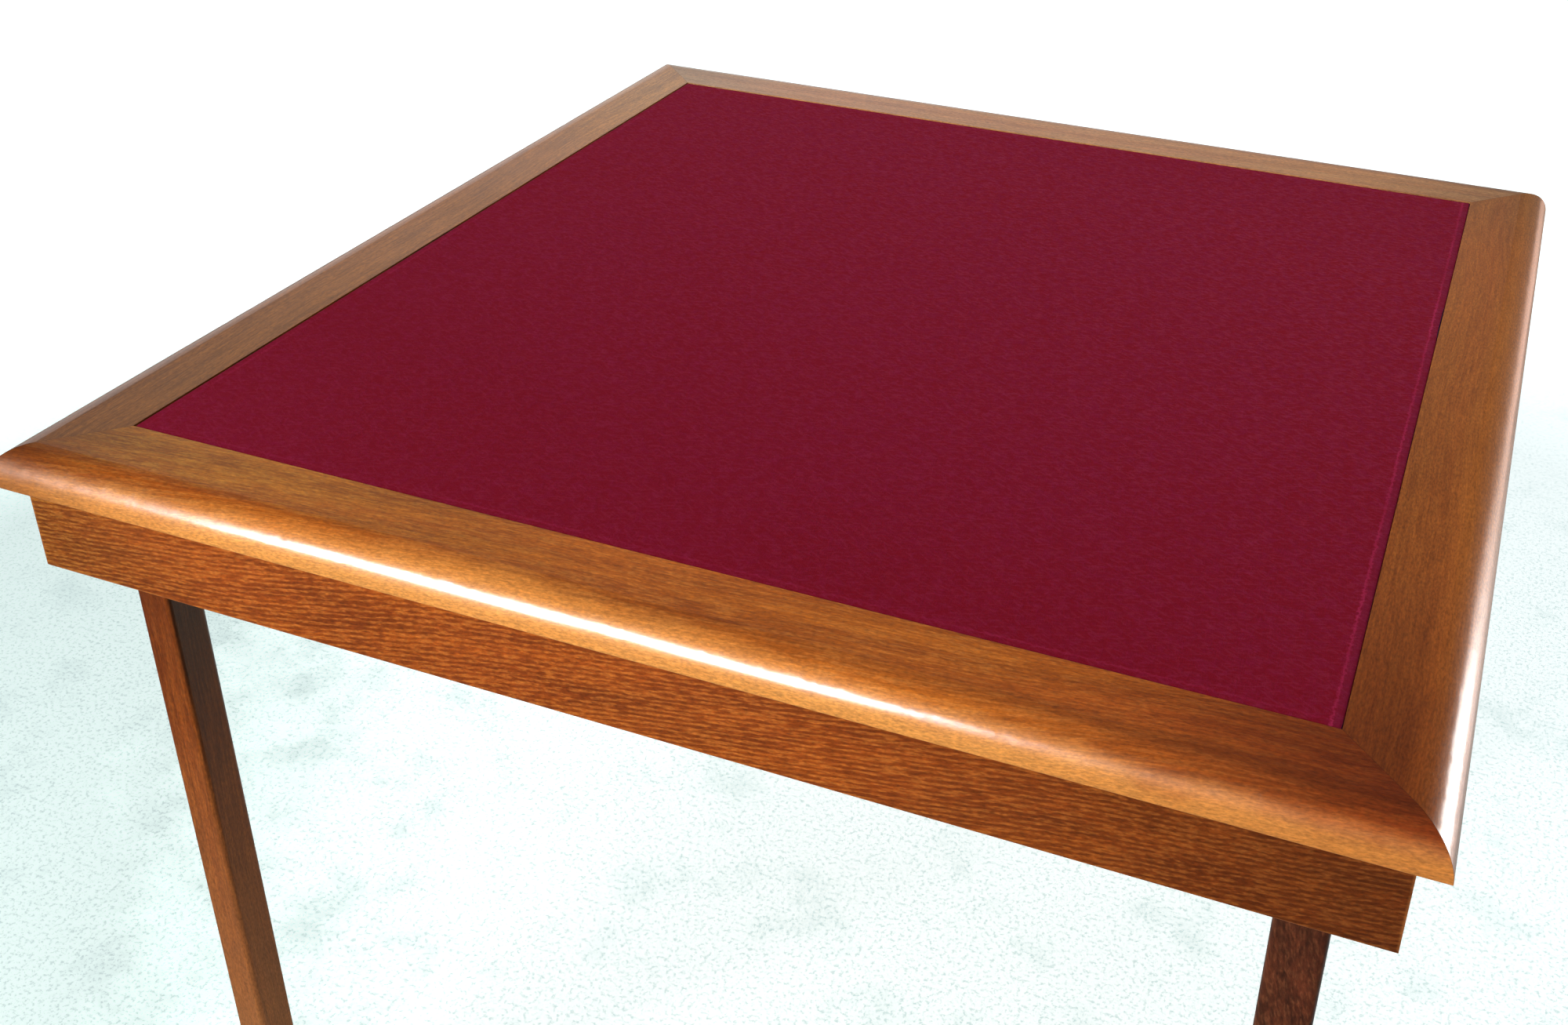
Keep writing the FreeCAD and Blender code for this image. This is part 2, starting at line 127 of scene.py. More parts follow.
def scaled(tree, vector, amount):
    return put(tree, "ShaderNodeVectorMath", {0: vector, "Scale": amount}, operation="SCALE").outputs[0]


def partsOf(tree, vector):
    return put(tree, "ShaderNodeSeparateXYZ", {0: vector}).outputs


def spread(tree, value, low, high, toLow=0.0, toHigh=1.0):
    return put(tree, "ShaderNodeMapRange", {
        "Value": value, "From Min": low, "From Max": high, "To Min": toLow, "To Max": toHigh,
    }).outputs[0]


def blendColor(tree, amount, first, second, mode="MIX"):
    inputs = {"Factor": amount, 6: first, 7: second}
    return put(tree, "ShaderNodeMix", inputs, data_type="RGBA", blend_type=mode).outputs[2]


def noiseAt(tree, vector, scale, detail, roughness=0.5, distortion=0.0):
    return put(tree, "ShaderNodeTexNoise", {
        "Vector": vector, "Scale": scale, "Detail": detail, "Roughness": roughness, "Distortion": distortion,
    }).outputs["Fac"]


def stretchedNoise(tree, vector, stretch, detail, roughness):
    return noiseAt(tree, onVectors(tree, "MULTIPLY", vector, stretch), 1.0, detail, roughness)


def noiseLayer(tree, vector, stretch, detail, roughness, *limits):
    # Stretched noise, and then what spread makes of it
    return spread(tree, stretchedNoise(tree, vector, stretch, detail, roughness), *limits)


def newGroup(name, inputs, outputs):
    tree = bpy.data.node_groups.new(name, "ShaderNodeTree")
    for label, kind, value in inputs:
        socket = tree.interface.new_socket(label, in_out="INPUT", socket_type="NodeSocket" + kind)
        if value is not None:
            socket.default_value = value
    for label, kind in outputs:
        tree.interface.new_socket(label, in_out="OUTPUT", socket_type="NodeSocket" + kind)
    entry = tree.nodes.new("NodeGroupInput")
    leave = tree.nodes.new("NodeGroupOutput")
    return tree, entry.outputs, leave.inputs


def giveOut(tree, result, values):
    for name, value in values.items():
        tree.links.new(value, result[name])


def useGroup(tree, group, inputs):
    return put(tree, "ShaderNodeGroup", inputs, node_tree=group).outputs


def srgb(red, green, blue):
    # A colour given on a 0 to 255 scale, as the shader wants it
    parts = []
    for value in (red, green, blue):
        share = value / 255
        parts.append(share / 12.92 if share <= 0.04045 else ((share + 0.055) / 1.055) ** 2.4)
    return (*parts, 1.0)


# Beech figure: growth bands, fine streaks, ray flecks and pores, with the grain along X
grainLooks = {
    "wanderScale": 3.0,
    "wanderReach": (0, 0.03, 0.03),
    # Each layer has its stretch, detail and roughness, then the limits of its noise and what they become
    "bands": ((1.6, 70, 70), 2, 0.5, 0.3, 0.7),
    "streaks": ((15, 470, 470), 3, 0.65, 0.3, 0.7),
    "fibres": ((38, 1500, 1500), 2, 0.6, 0.28, 0.72),
    "pores": ((300, 4200, 4200), 1, 0.5, 0.6, 0.72),
    "specks": ((300, 1000, 1000), 2, 0.6, 0.3, 0.7, 0.7, 1.3),
    "redness": ((2.2, 55, 55), 2, 0.5, 0.38, 0.62),
    "breaks": ((65, 230, 230), 1, 0.5, 0.38, 0.58, 0.25, 1.0),
    "lines": ((9, 200, 200), 1, 0.35),
    "paleLines": (0.47, 0.6),
    "darkLines": (0.47, 0.36),
    "rows": {"Scale": 94.0, "Distortion": 2.4, "Detail": 2.0, "Detail Scale": 1.6},
    "rowSqueeze": (0.14, 1, 1),
    "redTint": (1.0, 0.78, 0.82, 1),
    "fibreAmount": 0.3,
    "shadeAmount": 0.7,
    "poreShade": 0.55,
    "poreAmount": 0.35,
    "fibreHeight": 0.4,
    "poreDepth": 0.6,
    "fleckHeight": 0.25,
}


def makeWoodFigure(values):
    tree, given, result = newGroup("woodFigure", [
        ("Vector", "Vector", None),
        ("Light", "Color", (0.5, 0.3, 0.15, 1)),
        ("Dark", "Color", (0.2, 0.1, 0.05, 1)),
        ("Fleck", "Color", (0.7, 0.4, 0.2, 1)),
        ("Fleck Amount", "Float", 0.6),
        ("Fleck Scale", "Float", 1.5),
        ("Streak Amount", "Float", 0.5),
        ("Band Amount", "Float", 0.6),
        ("Red Amount", "Float", 0.3),
        ("Row Amount", "Float", 0.0),
    ], [("Color", "Color"), ("Height", "Float"), ("Specks", "Float")])
    vector = given["Vector"]
    wander = put(tree, "ShaderNodeTexNoise", {"Vector": vector, "Scale": values["wanderScale"], "Detail": 1.0})
    centred = onVectors(tree, "SUBTRACT", wander.outputs["Color"], (0.5, 0.5, 0.5))
    bent = onVectors(tree, "ADD", vector, onVectors(tree, "MULTIPLY", centred, values["wanderReach"]))
    bands = noiseLayer(tree, bent, *values["bands"])
    streaks = noiseLayer(tree, bent, *values["streaks"])
    fibres = noiseLayer(tree, bent, *values["fibres"])
    pores = noiseLayer(tree, bent, *values["pores"])
    redness = noiseLayer(tree, bent, *values["redness"])
    squeezed = onVectors(tree, "MULTIPLY", bent, values["rowSqueeze"])
    rows = put(
        tree, "ShaderNodeTexWave", dict(values["rows"], Vector=squeezed), wave_type="BANDS", bands_direction="Z",
    ).outputs["Fac"]
    rowShare = times(tree, minus(tree, rows, 0.5), given["Row Amount"])
    sized = scaled(tree, bent, given["Fleck Scale"])
    lines = plus(tree, stretchedNoise(tree, sized, *values["lines"]), rowShare)
    breaks = noiseLayer(tree, sized, *values["breaks"])
    flecks = times(tree, spread(tree, lines, *values["paleLines"]), breaks)
    shade = spread(tree, lines, *values["darkLines"])
    tone = times(tree, minus(tree, bands, 0.5), given["Band Amount"])
    tone = plus(tree, tone, times(tree, minus(tree, streaks, 0.5), given["Streak Amount"]))
    tone = plus(tree, tone, times(tree, minus(tree, fibres, 0.5), values["fibreAmount"]))
    tone = plus(tree, tone, 0.5, clamp=True)
    color = blendColor(tree, tone, given["Dark"], given["Light"])
    red = blendColor(tree, times(tree, redness, given["Red Amount"]), (1, 1, 1, 1), values["redTint"])
    color = blendColor(tree, 1.0, color, red, "MULTIPLY")
    shadeAmount = times(tree, times(tree, shade, given["Fleck Amount"]), values["shadeAmount"])
    color = blendColor(tree, shadeAmount, color, given["Dark"])
    color = blendColor(tree, times(tree, flecks, given["Fleck Amount"]), color, given["Fleck"])
    poreColor = blendColor(tree, values["poreShade"], given["Dark"], (0, 0, 0, 1))
    color = blendColor(tree, times(tree, pores, values["poreAmount"]), color, poreColor)
    height = minus(tree, times(tree, fibres, values["fibreHeight"]), times(tree, pores, values["poreDepth"]))
    height = plus(tree, height, times(tree, flecks, values["fleckHeight"]))
    giveOut(tree, result, {"Color": color, "Height": height, "Specks": noiseLayer(tree, bent, *values["specks"])})
    return tree


# Across a moulded rail: a painted dark reflection where the thumb moulding starts, and paler out to its edge,
# rubbed and painted with the lacquer's sheen
mouldingLooks = {
    # Places are shares of the moulding's width, counted inwards from the table's edge
    "palest": 0.04,
    "reflectionRise": (0.62, 0.85),
    "reflectionFall": (1.3, 1.0),
    "flatStart": (0.8, 1.1),
    "ripple": (26.0, 3.0),
    "rippleRange": (0.3, 0.7, -0.1, 0.1),
}


def makeMouldedStain(values):
    tree, given, result = newGroup("mouldingStainAndLight", [
        ("Vector", "Vector", None),
        ("Edge", "Float", 0.43),
        ("Width", "Float", 0.023),
        ("Reach", "Float", 0.52),
    ], [("Pale", "Float"), ("Dark", "Float"), ("Flat", "Float"), ("Seam Distance", "Float")])
    parts = partsOf(tree, onVectors(tree, "ABSOLUTE", given["Vector"]))
    inward = minus(tree, given["Edge"], doMath(tree, "MAXIMUM", parts[0], parts[1]))
    ripple = noiseAt(tree, given["Vector"], *values["ripple"])
    share = doMath(tree, "DIVIDE", inward, given["Width"])
    share = plus(tree, share, spread(tree, ripple, *values["rippleRange"]))
    # Dark: the painted dark reflection where the moulding starts. Pale: rubbed paler, with the lacquer's sheen
    # painted in
    dark = times(tree, spread(tree, share, *values["reflectionRise"]), spread(tree, share, *values["reflectionFall"]))
    giveOut(tree, result, {
        "Pale": spread(tree, share, given["Reach"], values["palest"]),
        "Dark": dark,
        "Flat": spread(tree, share, *values["flatStart"]),
        "Seam Distance": doMath(tree, "ABSOLUTE", minus(tree, parts[0], parts[1])),
    })
    return tree


# Edge mask of a box: strong where two of its faces meet, broken up by noise
wearLooks = {"patches": (55.0, 4.0, 0.65), "patchRange": (0.38, 0.62)}


def makeEdgeWear(values):
    tree, given, result = newGroup("edgeWear", [
        ("Vector", "Vector", None),
        ("Middle", "Vector", None),
        ("Half Size", "Vector", None),
        ("Width", "Float", 0.002),
        ("Breakup", "Float", 0.6),
    ], [("Mask", "Float")])
    size = onVectors(tree, "ABSOLUTE", onVectors(tree, "SUBTRACT", given["Vector"], given["Middle"]))
    inside = partsOf(tree, onVectors(tree, "SUBTRACT", given["Half Size"], size))
    near = [minus(tree, 1.0, doMath(tree, "DIVIDE", part, given["Width"]), clamp=True) for part in inside]
    pairs = [times(tree, near[axis], near[(axis + 1) % 3]) for axis in range(3)]
    edge = doMath(tree, "MAXIMUM", doMath(tree, "MAXIMUM", pairs[0], pairs[1]), pairs[2])
    patches = spread(tree, noiseAt(tree, given["Vector"], *values["patches"]), *values["patchRange"])
    kept = minus(tree, 1.0, times(tree, given["Breakup"], minus(tree, 1.0, patches)))
    giveOut(tree, result, {"Mask": times(tree, edge, kept, clamp=True)})
    return tree


# Handling: soft smears and fine scratches that change how a surface shines
handlingLooks = {
    "smears": (9.0, 5.0, 0.6),
    "smearRange": (0.3, 0.7, -1.0, 1.0),
    "hazeRange": (0.35, 0.65),
    "scratches": ((35, 900, 500), 2, 0.5, 0.62, 0.7),
}


def makeHandling(values):
    tree, given, result = newGroup("handling", [
        ("Vector", "Vector", None),
        ("Base", "Float", 0.3),
        ("Smear", "Float", 0.08),
        ("Scratch", "Float", 0.05),
    ], [("Roughness", "Float"), ("Haze", "Float")])
    smears = noiseAt(tree, given["Vector"], *values["smears"])
    scratches = noiseLayer(tree, given["Vector"], *values["scratches"])
    rough = plus(tree, given["Base"], times(tree, spread(tree, smears, *values["smearRange"]), given["Smear"]))
    rough = plus(tree, rough, times(tree, scratches, given["Scratch"]), clamp=True)
    giveOut(tree, result, {"Roughness": rough, "Haze": spread(tree, smears, *values["hazeRange"])})
    return tree


# Felted nap: cloudy bloom broken into small tufts, crossing fibres and a fine pile
napLooks = {
    "clouds": (5.0, 3.0, 0.55, 0.5),
    "cloudRange": (0.34, 0.66),
    "tufts": (130.0, 5.0, 0.75, 0.6),
    "tuftRange": (0.44, 0.60),
    "warp": ((240, 1300, 800), 3, 0.6, 0.32, 0.68),
    "weft": ((1300, 240, 800), 3, 0.6, 0.32, 0.68),
    "pile": (1300.0, 2.0, 0.6),
    "pileRange": (0.3, 0.7),
    "weaveShare": 0.65,
    "pileShare": 0.35,
    "cloudShare": 0.35,
    "tuftShare": 0.95,
    "strands": ((130, 560, 300), 2, 0.6, 0.52, 0.66),
    "strandTurns": (0.5, -0.35),
    "farSheenLean": 0.35,  # painted sheen grows towards the cloth's far side, and this much to the right
    "farSheenRange": (-0.3, 0.3),
    "leastRubAndSheen": 0.55,
    "hollowAmount": 0.5,
    "tuftHeight": 0.5,
}


def makeFeltNap(values):
    tree, given, result = newGroup("feltNap", [
        ("Vector", "Vector", None),
        ("Base", "Color", (0.2, 0.01, 0.02, 1)),
        ("Bloom", "Color", (0.25, 0.02, 0.06, 1)),
        ("Deep", "Color", (0.1, 0.0, 0.01, 1)),
        ("Strand", "Color", (0.3, 0.03, 0.09, 1)),
        ("Far Sheen", "Color", (0.25, 0.01, 0.02, 1)),
        ("Bloom Amount", "Float", 0.6),
        ("Strand Amount", "Float", 0.5),
    ], [("Color", "Color"), ("Height", "Float")])
    vector = given["Vector"]
    cloud = spread(tree, noiseAt(tree, vector, *values["clouds"]), *values["cloudRange"])
    tuft = spread(tree, noiseAt(tree, vector, *values["tufts"]), *values["tuftRange"])
    warp, weft = (noiseLayer(tree, vector, *values[name]) for name in ("warp", "weft"))
    fine = spread(tree, noiseAt(tree, vector, *values["pile"]), *values["pileRange"])
    thread = times(tree, doMath(tree, "MAXIMUM", warp, weft), values["weaveShare"])
    thread = plus(tree, thread, times(tree, fine, values["pileShare"]))
    cover = plus(tree, times(tree, cloud, values["cloudShare"]), times(tree, tuft, values["tuftShare"]))
    bloom = times(tree, times(tree, cover, thread), given["Bloom Amount"], clamp=True)
    strands = []
    for turn in values["strandTurns"]:
        turned = put(tree, "ShaderNodeMapping", {"Vector": vector, "Rotation": (0, 0, turn)}).outputs[0]
        strands.append(noiseLayer(tree, turned, *values["strands"]))
    strand = times(tree, doMath(tree, "MAXIMUM", *strands), given["Strand Amount"])
    parts = partsOf(tree, vector)
    # Painted sheen: the cloth is lighter towards its far side and to the right, and its bloom stronger there
    farSheen = plus(tree, parts[1], times(tree, parts[0], values["farSheenLean"]))
    farSheen = spread(tree, farSheen, *values["farSheenRange"])
    rubbedAndSheen = spread(tree, farSheen, 0.0, 1.0, values["leastRubAndSheen"], 1.0)
    color = blendColor(tree, farSheen, given["Base"], given["Far Sheen"])
    color = blendColor(tree, times(tree, bloom, rubbedAndSheen), color, given["Bloom"])
    color = blendColor(tree, times(tree, strand, times(tree, rubbedAndSheen, rubbedAndSheen)), color, given["Strand"])
    hollow = times(tree, minus(tree, 1.0, thread), values["hollowAmount"])
    color = blendColor(tree, hollow, color, given["Deep"])
    height = plus(tree, thread, times(tree, tuft, values["tuftHeight"]))
    giveOut(tree, result, {"Color": color, "Height": height})
    return tree


# Border of the cloth: a rubbed ridge a few millimetres in, pressed flat between it and the edge, and a painted
# shadow of the gap at its edge
borderLooks = {
    "ripple": (330.0, 3.0, 0.75),
    "rippleRange": (0.3, 0.7, -0.0012, 0.0012),
    "drift": (9.0, 2.0),
    "driftRange": (0.35, 0.6, 0.35, 1.0),
    "rightRidge": 1.0,
    "otherRidges": 0.3,
    "pressedRange": (0.0058, 0.0036),
    "gapShadowWobble": (0.58, 0.44, 0.0, 0.0010),
    "gapShadowRange": (0.0009, 0.0004),
}


def makeClothBorder(values):
    tree, given, result = newGroup("clothBorder", [
        ("Vector", "Vector", None),
        ("Edge", "Float", 0.368),
        ("Ridge Place", "Float", 0.0056),
        ("Ridge Width", "Float", 0.0012),
    ], [("Ridge", "Float"), ("Pressed", "Float"), ("Gap Shadow", "Float")])
    right = minus(tree, given["Edge"], partsOf(tree, given["Vector"])[0])
    sizes = partsOf(tree, onVectors(tree, "ABSOLUTE", given["Vector"]))
    nearest = minus(tree, given["Edge"], doMath(tree, "MAXIMUM", sizes[0], sizes[1]))
    drift = noiseAt(tree, given["Vector"], *values["drift"])
    jagged = spread(tree, noiseAt(tree, given["Vector"], *values["ripple"]), *values["rippleRange"])
    lines = []
    for distance, amount in ((right, values["rightRidge"]), (nearest, values["otherRidges"])):
        away = doMath(tree, "ABSOLUTE", minus(tree, plus(tree, distance, jagged), given["Ridge Place"]))
        line = minus(tree, 1.0, doMath(tree, "DIVIDE", away, given["Ridge Width"]), clamp=True)
        lines.append(times(tree, line, amount))
    # Distance for the painted gap shadow, wavering along the edge
    worn = plus(tree, nearest, spread(tree, drift, *values["gapShadowWobble"]))
    giveOut(tree, result, {
        "Ridge": times(tree, doMath(tree, "MAXIMUM", *lines), spread(tree, drift, *values["driftRange"])),
        "Pressed": spread(tree, right, *values["pressedRange"]),
        "Gap Shadow": spread(tree, worn, *values["gapShadowRange"]),
    })
    return tree


woodFigure = makeWoodFigure(grainLooks)
mouldingStainAndLight = makeMouldedStain(mouldingLooks)
edgeWear = makeEdgeWear(wearLooks)
handling = makeHandling(handlingLooks)
feltNap = makeFeltNap(napLooks)
clothBorder = makeClothBorder(borderLooks)
print("shader groups made")


def newMaterial(name):
    material = bpy.data.materials.new(name)
    material.use_nodes = True
    tree = material.node_tree
    tree.nodes.clear()
    output = tree.nodes.new("ShaderNodeOutputMaterial")
    surface = tree.nodes.new("ShaderNodeBsdfPrincipled")
    tree.links.new(surface.outputs[0], output.inputs["Surface"])
    place = put(tree, "ShaderNodeTexCoord").outputs["Object"]
    return material, tree, surface, place


def setInputs(surface, values):
    for name, value in values.items():
        surface.inputs[name].default_value = value


def addBump(tree, surface, height, strength, distance):
    bump = put(tree, "ShaderNodeBump", {"Height": height, "Strength": strength, "Distance": distance})
    tree.links.new(bump.outputs[0], surface.inputs["Normal"])


def alongGrain(tree, place, axis, shift, slope=0.0):
    # Turns the piece's own coordinates so that the grain runs along X, tilts it and shifts it to another board
    turns = {"X": (0, 0, 0), "Y": (0, 0, -math.pi / 2), "Z": (0, math.pi / 2, 0)}
    turned = put(tree, "ShaderNodeMapping", {"Vector": place, "Rotation": turns[axis]}).outputs[0]
    lean = (0, math.radians(slope), math.radians(-slope))
    return put(tree, "ShaderNodeMapping", {"Vector": turned, "Location": shift, "Rotation": lean}).outputs[0]


def boxOf(name):
    low, high = (Vector(corner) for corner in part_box(name))
    return (low + high) / 2, (high - low) / 2


def setMaterial(name, material):
    thing = nodes[name]
    thing.data.materials.clear()
    thing.data.materials.append(material)
    for face in thing.data.polygons:
        face.material_index = 0


# Stained and lacquered beech. A board may change any of these, and may add tints of painted light and shade along
# its
# length: each has the place where it starts, the place where it is full, and its colour there. Above 255 a tint
# makes the wood lighter.
lacquer = {
    "light": srgb(196, 104, 18),
    "dark": srgb(132, 59, 4),
    "fleck": srgb(208, 128, 50),
    "worn": srgb(196, 124, 66),
    "pale": srgb(246, 174, 86),
    "reflectionShade": srgb(104, 42, 8),
    "seam": srgb(40, 18, 8),
    "tint": srgb(255, 200, 140),
    "fleckAmount": 0.35,
    "fleckScale": 3.0,
    "streakAmount": 0.5,
    "bandAmount": 0.5,
    "redAmount": 0.5,
    "rowAmount": 0.0,  # how far the flecks gather in even rows
    "slope": 0.0,  # how far the grain runs off the length of the board, in degrees
    "grainDepth": 0.00012,
    "bumpStrength": 0.35,
    "roughness": 0.4,
    "smear": 0.05,
    "scratch": 0.06,
    "gloss": 0.5,
    "coatWeight": 0.6,
    "coatRoughness": 0.18,
    "coatIor": 1.5,
    "wearWidth": 0.0016,
    "wearAmount": 0.4,
    "wearBreakup": 0.8,
    "seamWidth": 0.0005,
    "seamAmount": 0.5,
    "ends": [],  # painted light and shade along the whole board
    "flatLightAndShadeTints": [],  # painted reflection and shade on the flat inside the moulding
    "sideLightAndShadeTints": [],  # painted shade and light on the face towards +x
    "sideEdge": (0.0012, 0.0004),  # how far under that face they start and are full
    "paleAmount": 0.0,
    "paleCover": 0.65,  # how far the pale moulding keeps off the painted tints
    "paleMix": 0.5,
    "paleEnd": (-0.28, -0.40),  # along the board, where the paleness grows fainter
    "paleEndShare": 0.6,
    "reach": 0.52,  # share of the moulding that is paler, rubbed and painted with the lacquer's sheen
    "rubAndSheenPlace": 0.0,  # along the board, where the rubbed paleness and painted sheen reach further in
    "rubAndSheenWidth": 0.0,
    "rubAndSheenReach": 1.15,
    "reachLoss": (0.24, 0.34, 0.0, 0.12),  # what the reach loses away from that place
    "reflectionBand": 0.0,  # amount of the painted dark reflection band inside the moulding, and of its deepest part
    "reflectionBandDeepest": 0.0,
    "reflectionBandStart": 0.1,  # along the board, where the painted dark reflection starts to deepen
    "reflectionBandRun": 0.25,
    "footColor": srgb(182, 124, 74),
    "footAmount": 0.0,
    "footPlace": (0.48, 0.1),  # heights between which the leg grows paler and paler towards the foot
}


def lacqueredBeech(name, axis, shift, middle, half, mitred=False, **changes):
    values = dict(lacquer, **changes)
    material, tree, surface, place = newMaterial(name)
    grain = alongGrain(tree, place, axis, shift, values["slope"])
    figure = useGroup(tree, woodFigure, {
        "Vector": grain, "Light": values["light"], "Dark": values["dark"], "Fleck": values["fleck"],
        "Fleck Amount": values["fleckAmount"], "Fleck Scale": values["fleckScale"],
        "Streak Amount": values["streakAmount"], "Band Amount": values["bandAmount"],
        "Red Amount": values["redAmount"], "Row Amount": values["rowAmount"],
    })
    color = figure["Color"]
    parts = partsOf(tree, place)
    along = parts["XYZ".index(axis)]
    kept = 1.0

    def tinted(color, tints, mask):
        for start, finish, tint in tints:
            amount = times(tree, spread(tree, along, start, finish), mask)
            color = blendColor(tree, amount, color, tint, "MULTIPLY")
        return color

    if values["footAmount"]:
        footPaleness = spread(tree, parts[2], *values["footPlace"], 0.0, values["footAmount"])
        color = blendColor(tree, footPaleness, color, values["footColor"])
    if mitred:
        reach, paleness = values["reach"], values["paleAmount"]
        if values["rubAndSheenWidth"]:
            aside = doMath(tree, "ABSOLUTE", minus(tree, along, values["rubAndSheenPlace"]))
            reach = spread(tree, aside, 0.0, values["rubAndSheenWidth"], values["rubAndSheenReach"], reach)
            reach = minus(tree, reach, spread(tree, aside, *values["reachLoss"]))
            paleness = spread(tree, along, *values["paleEnd"], paleness, paleness * values["paleEndShare"])
        stain = useGroup(tree, mouldingStainAndLight, {
            "Vector": place, "Edge": tableEdge, "Width": mouldingWidth, "Reach": reach,
        })
        # Paler moulding edge: rubbed stain, with the lacquer's sheen painted in
        rubbedAndSheen = times(tree, stain["Pale"], paleness)
        kept = minus(tree, 1.0, times(tree, rubbedAndSheen, values["paleCover"]))
        # Painted reflection and shade on the flat of the rail
        color = tinted(color, values["flatLightAndShadeTints"], stain["Flat"])
        if values["paleAmount"]:
            smooth = blendColor(tree, values["paleMix"], values["pale"], color)
            # Painted dark reflection along the start of the moulding
            start, finish = values["reflectionBandStart"], values["reflectionBandStart"] + values["reflectionBandRun"]
            deepening = spread(tree, along, start, finish, values["reflectionBand"], values["reflectionBandDeepest"])
            color = blendColor(tree, times(tree, stain["Dark"], deepening), color, values["reflectionShade"])
            color = blendColor(tree, rubbedAndSheen, color, smooth)
        seam = spread(tree, stain["Seam Distance"], 0.0, values["seamWidth"], values["seamAmount"], 0.0)
        color = blendColor(tree, seam, color, values["seam"])
    # Painted light and shade along the board
    color = tinted(color, values["ends"], kept)
    # Painted shade at the top of the face towards +x, painted light lower down
    if values["sideLightAndShadeTints"]:
        face = middle[0] + half[0]
        side = spread(tree, parts[0], *[face - depth for depth in values["sideEdge"]])
        color = tinted(color, values["sideLightAndShadeTints"], side)
    color = scaled(tree, color, figure["Specks"])
    wear = useGroup(tree, edgeWear, {
        "Vector": place, "Middle": middle, "Half Size": half, "Width": values["wearWidth"],
        "Breakup": values["wearBreakup"],
    })["Mask"]
    color = blendColor(tree, times(tree, wear, values["wearAmount"]), color, values["worn"])
    tree.links.new(color, surface.inputs["Base Color"])
    touched = useGroup(tree, handling, {
        "Vector": grain, "Base": values["roughness"], "Smear": values["smear"], "Scratch": values["scratch"],
    })
    tree.links.new(touched["Roughness"], surface.inputs["Roughness"])
    setInputs(surface, {
        "Specular IOR Level": values["gloss"], "Specular Tint": values["tint"], "Coat Weight": values["coatWeight"],
        "Coat Roughness": values["coatRoughness"], "Coat IOR": values["coatIor"],
    })
    addBump(tree, surface, figure["Height"], values["bumpStrength"], values["grainDepth"])
    return material


# Frame rails: each is its own board, so each has its own shade and piece of grain, and its own painted light and
# shade along it
railLooks = {
    "shared": {"paleAmount": 0.9, "reflectionBand": 0.15, "reflectionBandDeepest": 0.15, "gloss": 0.38},
    "front": {
        "shift": (0.1, 0.3, 0.7), "slope": 4.0, "rubAndSheenPlace": -0.08, "rubAndSheenWidth": 0.22, "reflectionBandDeepest": 0.5,
        # Painted shade towards both ends of the front rail, painted light easing the pale part
        "ends": [
            (0.17, 0.40, srgb(176, 146, 122)), (0.2, 0.38, srgb(255, 240, 218)),
            (-0.24, -0.42, srgb(198, 208, 205)), (-0.35, -0.42, srgb(206, 186, 186)),
        ],
        # Painted reflection lightening the flat towards the left, painted shade near the right end
        "flatLightAndShadeTints": [
            (-0.02, -0.12, srgb(236, 250, 246)), (-0.14, -0.30, srgb(276, 296, 282)),
            (0.28, 0.37, srgb(232, 230, 228)),
        ],
    },
    "right": {
        "shift": (2.4, 1.1, 0.2), "light": srgb(192, 108, 36), "dark": srgb(132, 67, 18), "reach": 1.3,
        "pale": srgb(246, 150, 54), "fleckAmount": 0.2, "redAmount": 0.4, "bandAmount": 0.25, "streakAmount": 0.35,
        "reflectionBand": 0.0, "reflectionBandDeepest": 0.3, "reflectionBandStart": 0.0,
        # Painted light and shade along the right rail
        "ends": [
            (0.22, -0.1, srgb(238, 242, 246)), (0.1, -0.25, srgb(240, 222, 206)),
            (-0.2, -0.37, srgb(194, 176, 164)), (0.27, 0.41, srgb(236, 256, 290)),
        ],
    },
    "back": {
        "shift": (5.2, 0.6, 1.9), "light": srgb(217, 157, 100), "dark": srgb(158, 107, 66), "fleckAmount": 0.3,
        # Painted light and shade along the back rail
        "ends": [(0.28, 0.40, srgb(220, 222, 225)), (-0.26, -0.40, srgb(220, 248, 264))],
    },
    "left": {
        "shift": (7.7, 2.3, 0.4), "light": srgb(158, 98, 42), "dark": srgb(104, 60, 20),
        "fleckAmount": 0.2, "redAmount": 0.0,
        # Painted light and shade along the left rail
        "ends": [
            (-0.12, -0.40, srgb(215, 215, 210)), (-0.25, 0.3, srgb(294, 296, 285)),
            (0.14, 0.32, srgb(278, 298, 314)),
        ],
    },
}

# Apron rails: plainer, with stronger flecks than the frame
apronLooks = {
    "shared": {
        "light": srgb(168, 77, 10), "dark": srgb(101, 38, 3), "fleck": srgb(187, 104, 34),
        "fleckAmount": 0.62, "fleckScale": 3.1, "rowAmount": 0.3, "streakAmount": 0.35, "redAmount": 0.3,
        "roughness": 0.42, "gloss": 0.28, "coatWeight": 0.1, "coatRoughness": 0.2,
    },
    "front": {
        "shift": (11.3, 0.2, 3.1), "slope": 9.0,
        # Painted shade towards the right end, painted light towards the left end
        "ends": [(0.11, 0.38, srgb(176, 173, 182)), (-0.28, -0.42, srgb(222, 250, 255))],
    },
    "right": {"shift": (14.8, 1.7, 2.6)},
    "back": {"shift": (17.1, 2.9, 0.8)},
    "left": {"shift": (21.6, 0.5, 1.3)},
}


def finishSides(values, part):
    for index, side in enumerate(sideNames):
        looks = dict(values["shared"], **values[side])
        shift = looks.pop("shift")
        middle, half = boxOf(side + "_" + part)
        name = side + part.capitalize() + "Beech"
        beech = lacqueredBeech(name, "XY"[index % 2], shift, middle, half, mitred=True, **looks)
        setMaterial(side + "_" + part, beech)


finishSides(railLooks, "rail")
finishSides(apronLooks, "apron")


